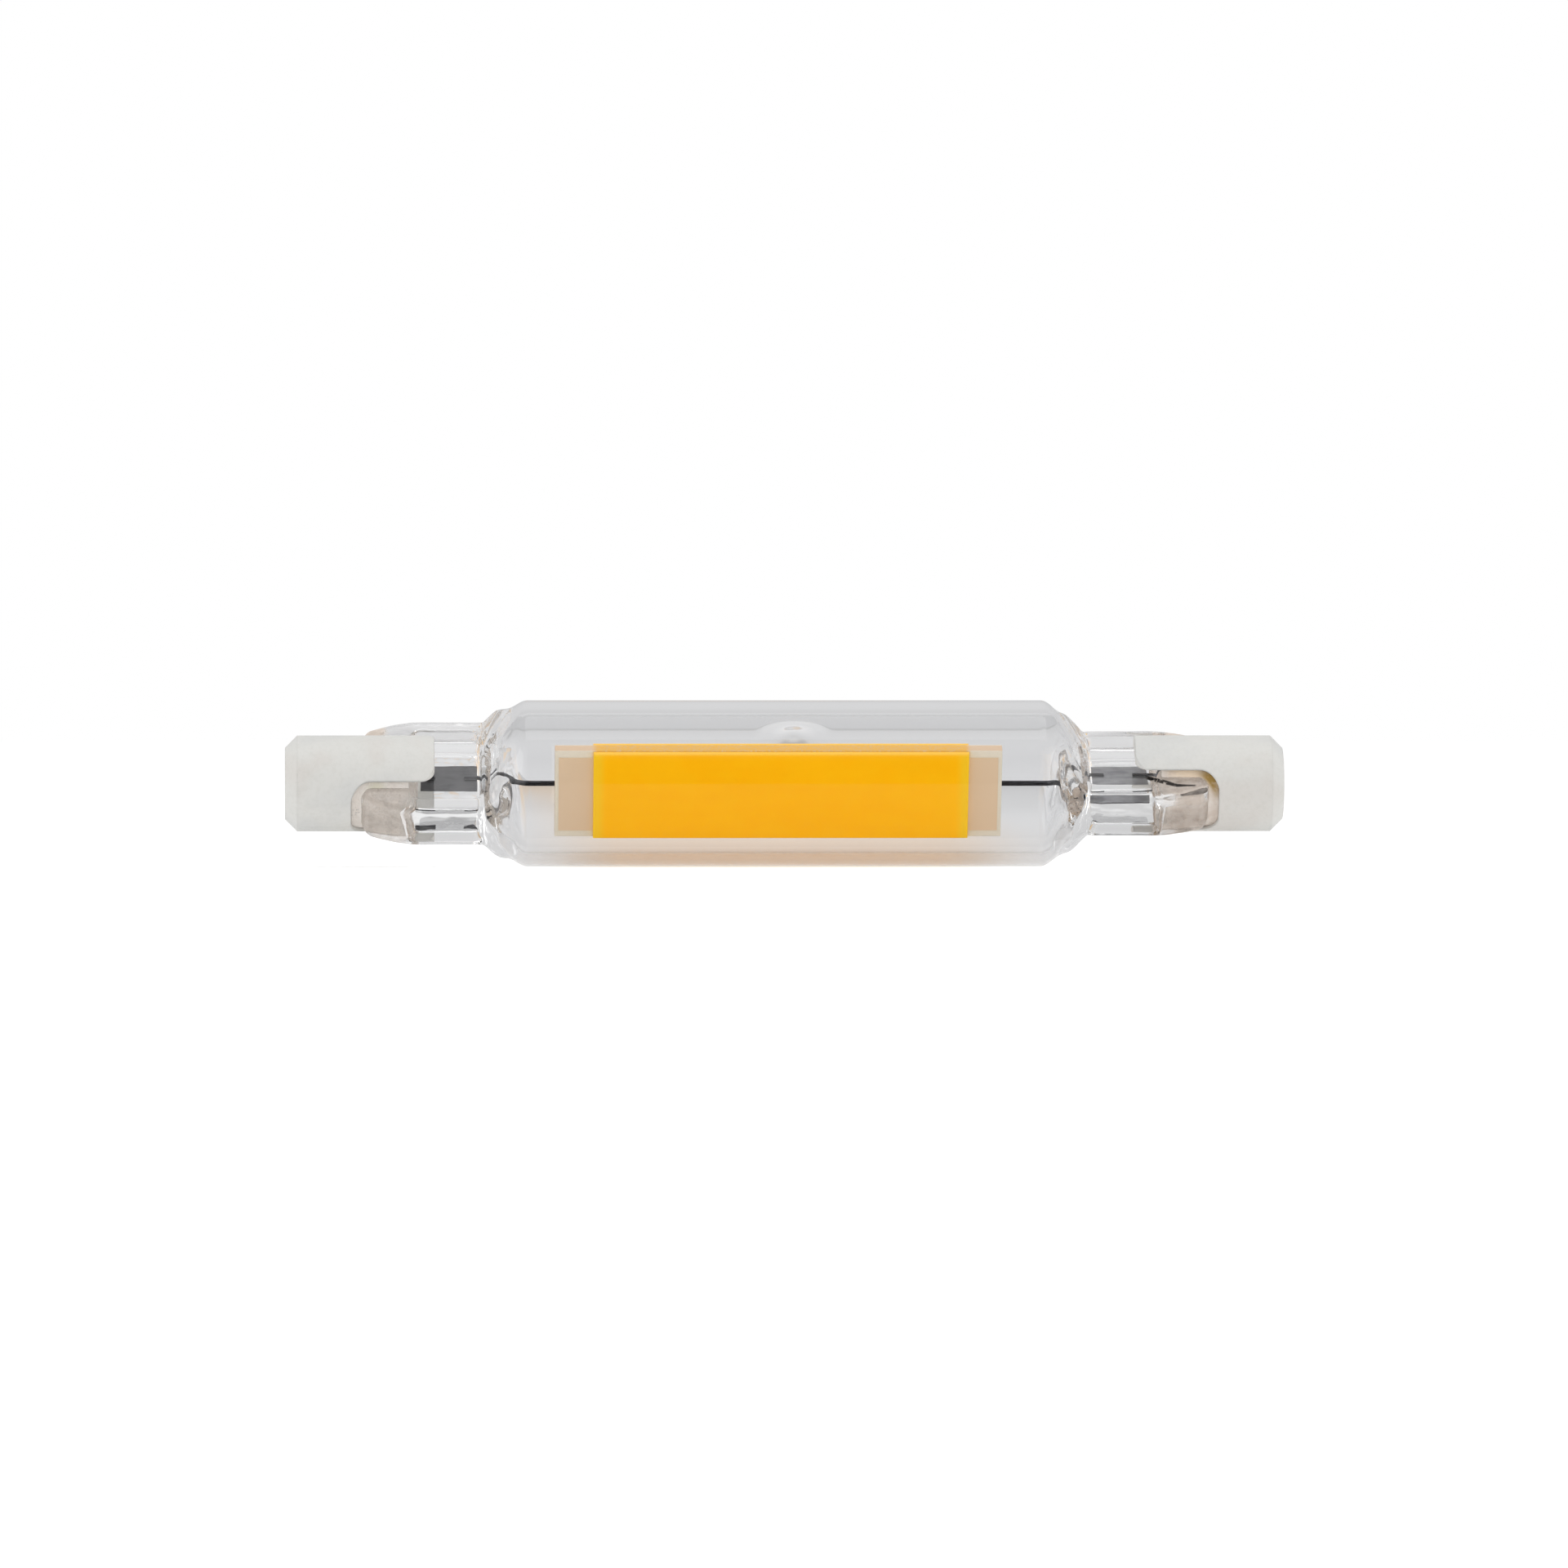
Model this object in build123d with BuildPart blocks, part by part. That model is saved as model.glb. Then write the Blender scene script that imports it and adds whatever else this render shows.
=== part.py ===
from build123d import *
import math
import os

# Double-ended linear lamp with a recessed contact at each end.
# A clear glass tube is pressed flat at both ends around a metal foil and its two leads.
# Each flat seal is cemented into the slot of a ceramic cap, and a board of light-emitting
# chips, coated on both faces, hangs on the inner leads along the middle of the tube.
# X runs along the lamp, Z is up, and the origin is the middle of the lamp's own axis.
# All sizes are millimetres and all turns are degrees about X.

# Overall
overall_length = 78.0
contact_recess = 1.55

# Ceramic caps
cap_diameter = 7.5
cap_length = 11.65
cap_edge_bevel = 0.95
cap_end_thickness = 5.15
slot_corner = 1.5
tongue_corner = 1.2
recess_diameter = 4.2
recess_chamfer = 0.3

# Contact rivets
head_inset = 0.5
head_thickness = 0.6
head_dish = 0.2
head_rim = 0.3
shank_diameter = 1.8
shank_overhang = 0.3
rivet_clearance = 0.05
lead_socket_depth = 1.6

# Glass tube
tube_diameter = 13.0
glass_wall = 1.0
shoulder_length = 3.5
root_glass = 0.8
root_side_glass = 1.7
bore_end_thickness = 0.9

# How the shoulders are drawn: squareness 2 is an ellipse, and more is nearer to a rectangle
outer_squareness = 3.5
inner_squareness = 2.5
shoulder_stations = 4
ring_points = 20
bend_delay = 2.2

# Nub where the tube was closed
tip_along = 0.9
tip_turn = 38.0
tip_base_radius = 1.9
tip_dome_radius = 0.75
tip_dome_part = 0.55
tip_height = 0.85
tip_pit_radius = 0.8
tip_pit_depth = 0.7

# Press seals
seal_length = 9.5
seal_width = 10.2
seal_end_inset = 0.1
seal_taper_length = 5.6
seal_end_round = 0.8
seal_corner = 0.8
seal_bury = 0.3
rib_thickness = 4.1
rib_width = 1.6
rib_edge_round = 0.45
web_thickness = 2.6
web_start = 0.35
web_end_margin = 4.2
web_corner = 0.5
web_draft = 20.0
left_turn = 47.0
right_turn = 61.0

# Cement
cement_gap = 0.6
cement_end_gap = 0.8
cement_inset = 0.3
cement_setback = 2.0

# Foils and leads
foil_width = 2.8
foil_thickness = 0.1
foil_root_margin = 0.25
foil_end_margin = 4.6
lead_diameter = 0.4
lead_flat = 0.05
lead_weld = 1.2

# Board
board_end_gap = 2.6
board_shift = -0.5
board_drop = 0.3
board_turn = 26.0
board_thickness = 1.1
board_side_gap = 1.1
pad_thickness = 0.05
pad_border = 0.55
pad_end_border = 0.3
board_lead_overlap = 1.6
solder_width = 1.5
solder_length = 1.0
solder_height = 0.65
solder_slope = 25.0
solder_margin = 0.15

# Coats and what they cover
coat_thickness = 0.5
coat_inset = 0.05
coat_shift = 0.2
coat_end_margin = 2.8
coat_edge_round = 0.15
pad_bury = 0.6
chip_rows = 3
chips_in_row = 16
chip_length = 0.9
chip_width = 0.4
chip_thickness = 0.15
row_gap = 1.6
row_end_margin = 2.6
die_length = 1.2
die_width = 0.9
die_thickness = 0.2
die_gap = 0.9
die_end_margin = 1.35

# Reach of the cutting bodies past the faces that they cut
cut_reach = 0.5

# Places that follow from the sizes above
half_length = overall_length / 2
cap_radius = cap_diameter / 2
cap_mouth = half_length - cap_length
slot_floor = half_length - cap_end_thickness
slot_start = cap_mouth - 2 * slot_corner
slot_width = rib_thickness + 2 * cement_gap
tongue_half = math.sqrt(cap_radius**2 - (slot_width / 2) ** 2)
recess_radius = recess_diameter / 2
recess_floor = half_length - contact_recess
head_radius = recess_radius - head_inset
head_floor = recess_floor - head_thickness
shank_radius = shank_diameter / 2
shank_end = slot_floor - shank_overhang
lead_radius = lead_diameter / 2
lead_socket_end = shank_end + lead_socket_depth

tube_radius = tube_diameter / 2
bore_radius = tube_radius - glass_wall
seal_tip = slot_floor - cement_end_gap
seal_root = seal_tip - seal_length
seal_half = seal_width / 2
seal_end_half = cap_radius - seal_end_inset
tube_half = seal_root - shoulder_length
bore_end = seal_root - root_glass
foil_start = seal_root + foil_root_margin
foil_end = seal_tip - foil_end_margin
foil_front = lead_radius - lead_flat
cement_start = cap_mouth + cement_setback

board_back = lead_radius + pad_thickness
board_front = board_back + board_thickness
coat_top = board_front + coat_thickness
board_half_width = math.sqrt((bore_radius - board_side_gap) ** 2 - coat_top**2) - board_drop
board_half_length = tube_half - board_end_gap
coat_half_width = board_half_width - coat_inset
coat_half_length = board_half_length - coat_end_margin
coat_along = board_shift + coat_shift
pad_half_width = board_half_width - pad_border
chip_pitch = 2 * (coat_half_length - row_end_margin) / (chips_in_row - 1)

ends = {"left": (-1, left_turn), "right": (1, right_turn)}


def width_direction(turn):
    """The way across a seal's broad faces, from its lower front edge to its upper back edge."""
    a = math.radians(turn)
    return Vector(0, math.sin(a), math.cos(a))


def face_direction(turn):
    """The way that a seal's upper front face looks."""
    a = math.radians(turn)
    return Vector(0, -math.cos(a), math.sin(a))


def across(side, turn, distance):
    """A plane across the lamp, with the seal's width as its x and its face's way as its y."""
    return Plane(
        origin=(side * distance, 0, 0), x_dir=width_direction(turn) * side, z_dir=(side, 0, 0)
    )


def broad(side, turn, height=0.0):
    """A plane along a seal's faces at a height over its middle: x is the way out of the lamp."""
    way = face_direction(turn)
    return Plane(origin=way * height, x_dir=(side, 0, 0), z_dir=way if height >= 0 else way * -1)


def edge_on(side, turn):
    """The plane that looks at a seal's narrow edge, with the way out of the lamp as its x."""
    return Plane(origin=(0, 0, 0), x_dir=(side, 0, 0), z_dir=width_direction(turn))


def turned(side):
    """The plane of profiles that turn about the lamp's axis: x is the way out, y the radius."""
    return Plane(origin=(0, 0, 0), x_dir=(side, 0, 0), z_dir=(0, -side, 0))


def board_plane(height):
    """A plane along the board at a height in front of the leads, with y up the board."""
    a = math.radians(board_turn)
    way = Vector(0, -math.cos(a), -math.sin(a))
    return Plane(origin=way * height, x_dir=(1, 0, 0), z_dir=way)


def ease(u):
    """From 0 to 1 with a soft start and a firm end, as glass bends under the press."""
    return u * u * (bend_delay - (bend_delay - 1) * u)


def flattened_ring(half_width, half_thickness, squareness):
    """A closed outline between an ellipse, at squareness 2, and a rounded rectangle."""
    points = []
    for i in range(ring_points):
        a = 2 * math.pi * i / ring_points
        c, s = math.cos(a), math.sin(a)
        reach = (abs(c) ** squareness + abs(s) ** squareness) ** (-1 / squareness)
        points.append((half_width * reach * c, half_thickness * reach * s))
    Spline(*points, periodic=True)


def shoulder(side, turn, end, radius, half_width, half_thickness, squareness):
    """The body between the round tube and a flattened section at end."""
    with BuildPart() as body:
        with BuildSketch(across(side, turn, tube_half)):
            Circle(radius)
        for i in range(1, shoulder_stations + 1):
            u = i / shoulder_stations
            k = ease(u)
            with BuildSketch(across(side, turn, tube_half + (end - tube_half) * u)):
                with BuildLine():
                    flattened_ring(
                        radius + (half_width - radius) * k,
                        radius + (half_thickness - radius) * k,
                        2 + (squareness - 2) * k,
                    )
                make_face()
        loft()
    return body.part


def seal(side, turn):
    """The flat pressed end of the glass: thick rims, thinner webs and a narrowed outer end."""
    start = seal_root - seal_bury
    taper_start = seal_tip - seal_taper_length
    round_start = start - 2 * seal_end_round
    pocket_start = seal_root + web_start
    pocket_end = seal_tip - web_end_margin
    outward = Axis((0, 0, 0), (side, 0, 0))
    faceways = Axis((0, 0, 0), face_direction(turn))
    with BuildPart() as body:
        # Outline from in front, with a curved taper and rounded corners at the end
        with BuildSketch(broad(side, turn)):
            with BuildLine():
                Line((start, -seal_half), (taper_start, -seal_half))
                TangentArc((taper_start, -seal_half), (seal_tip, -seal_end_half), tangent=(1, 0))
                Line((seal_tip, -seal_end_half), (seal_tip, seal_end_half))
                TangentArc((taper_start, seal_half), (seal_tip, seal_end_half), tangent=(1, 0))
                Line((taper_start, seal_half), (start, seal_half))
                Line((start, seal_half), (start, -seal_half))
            make_face()
        extrude(amount=rib_thickness / 2, both=True)
        fillet(body.edges().filter_by(faceways).sort_by(outward)[-2:], seal_corner)

        # Rounded along the rims and over the end
        with BuildSketch(across(side, turn, start)):
            RectangleRounded(seal_width, rib_thickness, rib_edge_round)
        extrude(amount=seal_tip - start, mode=Mode.INTERSECT)
        with BuildSketch(edge_on(side, turn)):
            with Locations(((round_start + seal_tip) / 2, 0)):
                RectangleRounded(seal_tip - round_start, rib_thickness, seal_end_round)
        extrude(amount=seal_half, both=True, mode=Mode.INTERSECT)

        # Thinner webs between the rims
        for height in (web_thickness / 2, -web_thickness / 2):
            with BuildSketch(broad(side, turn, height)):
                with Locations(((pocket_start + pocket_end) / 2, 0)):
                    RectangleRounded(
                        pocket_end - pocket_start, 2 * (seal_half - rib_width), web_corner
                    )
            extrude(
                amount=(rib_thickness - web_thickness) / 2 + cut_reach,
                taper=-web_draft,
                mode=Mode.SUBTRACT,
            )
    return body.part


def slot_outline():
    """The slot of a cap seen along the seal's width, open past the mouth."""
    with Locations(((slot_start + slot_floor) / 2, 0)):
        RectangleRounded(slot_floor - slot_start, slot_width, slot_corner)


def save(part, name):
    """Names a finished piece and writes it."""
    part.label = name
    export_step(part, f"parts/{name}.step")


os.makedirs("parts", exist_ok=True)

# Foils and leads, which the glass is pressed around
sealed_in = []
outer_leads = {}
inner_leads = {}
for end, (side, turn) in ends.items():
    with BuildPart() as foil:
        with BuildSketch(across(side, turn, foil_start)):
            with Locations((0, -(foil_front + foil_thickness / 2))):
                Rectangle(foil_width, foil_thickness)
        extrude(amount=foil_end - foil_start)
    save(foil.part, f"foil_{end}")

    # Round wire from the board, flattened where it is welded on the foil
    lead_in = board_half_length + side * board_shift - board_lead_overlap
    with BuildPart() as inner_lead:
        with BuildSketch(across(side, turn, lead_in)):
            Circle(lead_radius)
        extrude(amount=foil_start + lead_weld - lead_in)
        with BuildSketch(across(side, turn, foil_start)):
            with Locations((0, -(foil_front + cut_reach / 2))):
                Rectangle(foil_width, cut_reach)
        extrude(amount=lead_weld + cut_reach, mode=Mode.SUBTRACT)
    save(inner_lead.part, f"inner_lead_{end}")

    # Round wire from the other end of the foil to the contact
    with BuildPart() as outer_lead:
        with BuildSketch(across(side, turn, foil_end - lead_weld)):
            Circle(lead_radius)
        extrude(amount=lead_socket_end - foil_end + lead_weld)
        with BuildSketch(across(side, turn, foil_end - lead_weld - cut_reach)):
            with Locations((0, -(foil_front + cut_reach / 2))):
                Rectangle(foil_width, cut_reach)
        extrude(amount=lead_weld + cut_reach, mode=Mode.SUBTRACT)
    save(outer_lead.part, f"outer_lead_{end}")

    sealed_in += [foil.part, inner_lead.part, outer_lead.part]
    inner_leads[end] = inner_lead.part
    outer_leads[end] = outer_lead.part

# Glass envelope
seals = {end: seal(side, turn) for end, (side, turn) in ends.items()}
outer_shoulders = [
    shoulder(
        side, turn, seal_root, tube_radius, seal_half, rib_thickness / 2, outer_squareness
    )
    for side, turn in ends.values()
]
inner_shoulders = [
    shoulder(
        side,
        turn,
        bore_end,
        bore_radius,
        seal_half - root_side_glass,
        bore_end_thickness / 2,
        inner_squareness,
    )
    for side, turn in ends.values()
]
tip_angle = math.radians(tip_turn)
tip_way = Vector(0, math.cos(tip_angle), math.sin(tip_angle))
tip_plane = Plane(origin=(tip_along, 0, 0), x_dir=(1, 0, 0), z_dir=Vector(1, 0, 0).cross(tip_way))
tip_axis = Axis((tip_along, 0, 0), tip_way)

with BuildPart() as glass_envelope:
    with BuildSketch(Plane.YZ):
        Circle(tube_radius)
    extrude(amount=tube_half, both=True)
    add(outer_shoulders)
    add(list(seals.values()))

    # The nub where the tube was closed: a cone drawn up from the wall, under a dome
    tip_base = tube_radius - glass_wall / 2
    dome_middle = tube_radius + tip_height - tip_dome_radius
    neck_angle = math.acos(tip_dome_part)
    with BuildSketch(tip_plane):
        with BuildLine():
            neck = (
                tip_dome_radius * math.sin(neck_angle),
                dome_middle + tip_dome_radius * math.cos(neck_angle),
            )
            Polyline((0, tip_base), (tip_base_radius, tip_base), neck)
            ThreePointArc(
                neck,
                (
                    tip_dome_radius * math.sin(neck_angle / 2),
                    dome_middle + tip_dome_radius * math.cos(neck_angle / 2),
                ),
                (0, dome_middle + tip_dome_radius),
            )
            Line((0, dome_middle + tip_dome_radius), (0, tip_base))
        make_face()
    revolve(axis=tip_axis)

    # The bore, its closed ends and the dimple under the nub
    with BuildSketch(Plane.YZ):
        Circle(bore_radius)
    extrude(amount=tube_half, both=True, mode=Mode.SUBTRACT)
    add(inner_shoulders, mode=Mode.SUBTRACT)
    pit_middle = bore_radius + tip_pit_depth - tip_pit_radius
    pit_side = tip_pit_radius * math.sqrt(0.5)
    with BuildSketch(tip_plane):
        with BuildLine():
            Polyline(
                (0, pit_middle),
                (0, bore_radius - cut_reach),
                (tip_pit_radius, bore_radius - cut_reach),
                (tip_pit_radius, pit_middle),
            )
            ThreePointArc(
                (tip_pit_radius, pit_middle),
                (pit_side, pit_middle + pit_side),
                (0, pit_middle + tip_pit_radius),
            )
            Line((0, pit_middle + tip_pit_radius), (0, pit_middle))
        make_face()
    revolve(axis=tip_axis, mode=Mode.SUBTRACT)
    add(sealed_in, mode=Mode.SUBTRACT)
save(glass_envelope.part, "glass_envelope")

# Caps with their rivets and cement
for end, (side, turn) in ends.items():
    outward = Axis((0, 0, 0), (side, 0, 0))
    with BuildPart() as ceramic_cap:
        with BuildSketch(across(side, turn, cap_mouth)):
            Circle(cap_radius)
        extrude(amount=cap_length)
        chamfer(ceramic_cap.edges().sort_by(outward)[-1], cap_edge_bevel)

        # Slot for the seal, with two tongues that have rounded corners
        with BuildSketch(edge_on(side, turn)):
            slot_outline()
        extrude(amount=cap_radius + cut_reach, both=True, mode=Mode.SUBTRACT)
        with BuildSketch(broad(side, turn)):
            with Locations((cap_mouth, 0)):
                Rectangle(2 * tongue_corner, cap_diameter + cut_reach)
            with Locations((cap_mouth + 2 * tongue_corner, 0)):
                RectangleRounded(
                    4 * tongue_corner, 2 * tongue_half, tongue_corner, mode=Mode.SUBTRACT
                )
        extrude(amount=cap_radius + cut_reach, both=True, mode=Mode.SUBTRACT)

        # Recess, seat of the rivet's head and hole for its shank
        with BuildSketch(turned(side)):
            with BuildLine():
                Polyline(
                    (slot_floor - cut_reach, 0),
                    (slot_floor - cut_reach, shank_radius + rivet_clearance),
                    (head_floor, shank_radius + rivet_clearance),
                    (head_floor, head_radius + rivet_clearance),
                    (recess_floor, head_radius + rivet_clearance),
                    (recess_floor, recess_radius),
                    (half_length - recess_chamfer, recess_radius),
                    (half_length, recess_radius + recess_chamfer),
                    (half_length + cut_reach, recess_radius + recess_chamfer),
                    (half_length + cut_reach, 0),
                    close=True,
                )
            make_face()
        revolve(axis=outward, mode=Mode.SUBTRACT)
    save(ceramic_cap.part, f"ceramic_cap_{end}")

    # Contact rivet with a dished face, crimped on the outer lead
    dish_half = head_radius - head_rim
    dish_radius = (dish_half**2 + head_dish**2) / (2 * head_dish)
    dish_bottom = recess_floor - head_dish
    half_arc = math.asin(dish_half / dish_radius) / 2
    dish_middle = (
        dish_bottom + dish_radius * (1 - math.cos(half_arc)),
        dish_radius * math.sin(half_arc),
    )
    with BuildPart() as contact:
        with BuildSketch(turned(side)):
            with BuildLine():
                Polyline(
                    (dish_bottom, 0),
                    (lead_socket_end, 0),
                    (lead_socket_end, lead_radius),
                    (shank_end, lead_radius),
                    (shank_end, shank_radius),
                    (head_floor, shank_radius),
                    (head_floor, head_radius),
                    (recess_floor, head_radius),
                    (recess_floor, dish_half),
                )
                ThreePointArc((recess_floor, dish_half), dish_middle, (dish_bottom, 0))
            make_face()
        revolve(axis=outward)
    save(contact.part, f"contact_{end}")

    # Cement between the seal and the walls of the slot
    with BuildPart() as cement:
        with BuildSketch(across(side, turn, cement_start)):
            Circle(cap_radius - cement_inset)
        extrude(amount=slot_floor - cement_start)
        with BuildSketch(edge_on(side, turn)):
            slot_outline()
        extrude(amount=cap_radius + cut_reach, both=True, mode=Mode.INTERSECT)
        add([seals[end], outer_leads[end], contact.part], mode=Mode.SUBTRACT)
    save(cement.part, f"cement_{end}")

# Board and what is printed and soldered on it
with BuildPart() as led_board:
    with BuildSketch(board_plane(board_back)):
        with Locations((board_shift, -board_drop)):
            Rectangle(2 * board_half_length, 2 * board_half_width)
    extrude(amount=board_thickness)
save(led_board.part, "led_board")

pads = []
for end, (side, turn) in ends.items():
    pad_in = coat_half_length + side * coat_along - pad_bury
    pad_out = board_half_length + side * board_shift - pad_end_border
    for face, height in (("front", board_front), ("back", lead_radius)):
        with BuildPart() as pad:
            with BuildSketch(board_plane(height)):
                with Locations((side * (pad_in + pad_out) / 2, -board_drop)):
                    Rectangle(pad_out - pad_in, 2 * pad_half_width)
            extrude(amount=pad_thickness)
        save(pad.part, f"{face}_pad_{end}")
        pads.append(pad.part)

    # Solder over the lead on the back pad, with a channel that the lead fills
    solder_middle = (side * (pad_out - solder_margin - solder_length / 2), 0)
    with BuildPart() as solder:
        with BuildSketch(board_plane(lead_radius)):
            with Locations(solder_middle):
                Rectangle(solder_length, solder_width)
        extrude(amount=-solder_height, taper=solder_slope)
        with BuildSketch(board_plane(lead_radius)):
            with Locations(solder_middle):
                Rectangle(solder_length + cut_reach, lead_diameter)
        extrude(amount=-lead_radius, mode=Mode.SUBTRACT)
        add(inner_leads[end], mode=Mode.SUBTRACT)
    save(solder.part, f"solder_{end}")

# Rows of chips on both faces, and the driver's dice at one end of the front
chips = {}
for face, height, way in (("front", board_front, 1), ("back", board_back, -1)):
    with BuildPart() as face_chips:
        with BuildSketch(board_plane(height)):
            with Locations((coat_along, -board_drop)):
                with GridLocations(chip_pitch, chip_width + row_gap, chips_in_row, chip_rows):
                    Rectangle(chip_length, chip_width)
        extrude(amount=way * chip_thickness)
    save(face_chips.part, f"{face}_chips")
    chips[face] = face_chips.part

with BuildPart() as driver_dice:
    with BuildSketch(board_plane(board_front)):
        with Locations((coat_along - coat_half_length + die_end_margin, -board_drop)):
            with GridLocations(die_length, die_width + die_gap, 1, 2):
                Rectangle(die_length, die_width)
    extrude(amount=die_thickness)
save(driver_dice.part, "driver_dice")

# Yellow coats over the chips
for face, height, way in (("front", board_front, 1), ("back", board_back, -1)):
    outer_way = Axis((0, 0, 0), board_plane(0).z_dir * way)
    with BuildPart() as coat:
        with BuildSketch(board_plane(height)):
            with Locations((coat_along, -board_drop)):
                Rectangle(2 * coat_half_length, 2 * coat_half_width)
        extrude(amount=way * coat_thickness)
        fillet(coat.faces().sort_by(outer_way)[-1].edges(), coat_edge_round)
        add([chips[face], driver_dice.part] + pads, mode=Mode.SUBTRACT)
    save(coat.part, f"{face}_coat")
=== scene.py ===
import math
import bpy
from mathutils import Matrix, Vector, noise


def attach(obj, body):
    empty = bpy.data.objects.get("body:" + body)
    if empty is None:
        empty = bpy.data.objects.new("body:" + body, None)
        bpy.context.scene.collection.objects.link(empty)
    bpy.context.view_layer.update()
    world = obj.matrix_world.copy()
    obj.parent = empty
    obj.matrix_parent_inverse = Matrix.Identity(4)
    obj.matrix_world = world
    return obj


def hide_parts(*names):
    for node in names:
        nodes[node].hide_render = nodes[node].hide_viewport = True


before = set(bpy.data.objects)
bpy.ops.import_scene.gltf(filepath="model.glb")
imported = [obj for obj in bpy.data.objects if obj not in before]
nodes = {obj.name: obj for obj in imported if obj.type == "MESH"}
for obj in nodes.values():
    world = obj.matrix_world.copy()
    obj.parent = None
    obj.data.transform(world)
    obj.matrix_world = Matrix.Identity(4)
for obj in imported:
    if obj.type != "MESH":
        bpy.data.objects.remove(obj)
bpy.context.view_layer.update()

# Double-ended linear lamp: a coated light strip in a clear glass tube, with ceramic caps.
# X runs along the lamp, Z is up and -Y looks at the camera. Sizes are in millimetres,
# apart from the floor's floorHalf and those of the lamps and the camera, which are metres.
mm = 0.001
bothEnds = ("left", "right")
stripMiddle = -0.3  # the light strip sits a little to the left in its tube
print("frame loaded with", len(nodes), "solids")


# small helpers for node trees
def connect(tree, socket, value):
    if isinstance(value, bpy.types.NodeSocket):
        tree.links.new(value, socket)
    elif socket.type == "RGBA":
        socket.default_value = (*value, 1)
    else:
        socket.default_value = value


def put(tree, kind, inputs=None, **settings):
    node = tree.nodes.new("ShaderNode" + kind)
    for key, value in settings.items():
        setattr(node, key, value)
    for key, value in (inputs or {}).items():
        connect(tree, node.inputs[key], value)
    return node


def startMaterial(name, shaderValues):
    material = bpy.data.materials.new(name)
    material.use_nodes = True
    tree = material.node_tree
    shader = tree.nodes["Principled BSDF"]
    for key, value in shaderValues.items():
        connect(tree, shader.inputs[key], value)
    return material, tree, shader


def place(tree, scale=(1, 1, 1)):
    # object coordinates in millimetres, stretched by scale
    coord = put(tree, "TexCoord").outputs["Object"]
    spread = tuple(s / mm for s in scale)
    return put(tree, "VectorMath", {0: coord, 1: spread}, operation="MULTIPLY").outputs[0]


def axisOf(tree, vector, axis):
    return put(tree, "SeparateXYZ", {"Vector": vector}).outputs[axis]


def distanceAlong(tree, vector, way):
    node = put(tree, "VectorMath", {0: vector, 1: way}, operation="DOT_PRODUCT")
    return node.outputs["Value"]


def gapTo(tree, vector, centre):
    node = put(tree, "VectorMath", {0: vector, 1: centre}, operation="DISTANCE")
    return node.outputs["Value"]


def grain(tree, vector, size, detail=3.0, rough=0.55):
    # noise whose features are about size millimetres
    node = put(tree, "TexNoise", {
        "Vector": vector, "Scale": 1 / size, "Detail": detail, "Roughness": rough,
    })
    return node.outputs["Fac"]


def grey(tone):
    return (tone, tone, tone)


def ramp(tree, factor, stops, smooth=False):
    node = put(tree, "ValToRGB", {"Fac": factor})
    colours = node.color_ramp
    colours.interpolation = "EASE" if smooth else "LINEAR"
    while len(colours.elements) < len(stops):
        colours.elements.new(0.5)
    for element, (where, colour) in zip(colours.elements, stops):
        element.position = where
        element.color = (*colour, 1)
    return node.outputs["Color"]


def blendColours(tree, factor, first, second, mode="MIX"):
    # a Mix node has its colours at inputs 6 and 7 and the mixed one at output 2
    node = put(tree, "Mix", {0: factor}, data_type="RGBA", blend_type=mode)
    connect(tree, node.inputs[6], first)
    connect(tree, node.inputs[7], second)
    return node.outputs[2]


def blendShaders(tree, factor, first, second):
    return put(tree, "MixShader", {0: factor, 1: first.outputs[0], 2: second.outputs[0]})


def calc(tree, operation, a, b=0.0):
    return put(tree, "Math", {0: a, 1: b}, operation=operation).outputs[0]


def times(tree, first, *others):
    for other in others:
        first = calc(tree, "MULTIPLY", first, other)
    return first


def span(tree, value, low, high):
    # 0 below low, 1 above high, soft between
    node = put(tree, "MapRange", {"Value": value, "From Min": low, "From Max": high},
               interpolation_type="SMOOTHSTEP")
    return node.outputs["Result"]


def nearSpot(tree, vector, centre, radius):
    # 1 at the centre of a spot and 0 outside its radius
    return span(tree, gapTo(tree, vector, centre), radius, 0.2 * radius)


def onLeftHalf(tree, vector):
    return span(tree, axisOf(tree, vector, "X"), 1.0, -1.0)


def roughen(tree, shader, height, strength, distance, soften=0.0):
    # bump, and edges softened by a small radius where one is given
    inputs = {"Height": height, "Strength": strength, "Distance": distance * mm}
    if soften:
        bevel = put(tree, "Bevel", {"Radius": soften * mm}, samples=6)
        inputs["Normal"] = bevel.outputs["Normal"]
    connect(tree, shader.inputs["Normal"], put(tree, "Bump", inputs).outputs["Normal"])


def dress(material, *names):
    for name in names:
        for holder in nodes[name].material_slots:
            holder.material = material
        if not nodes[name].material_slots:
            nodes[name].data.materials.append(material)


# ceramic of the caps: patchy white with fine dust
capLook = {
    "pale": (0.635, 0.63, 0.605),
    "warm": (0.62, 0.60, 0.57),
    "cool": (0.60, 0.60, 0.585),
    "patch": 5.5,
    "dust": (0.93, 0.93, 0.92),
    "dustShare": 0.7,
    "speck": 0.35,
    "rough": (0.5, 0.68),
    "bump": (0.25, 0.05),
    "edge": 0.22,
}

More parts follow.
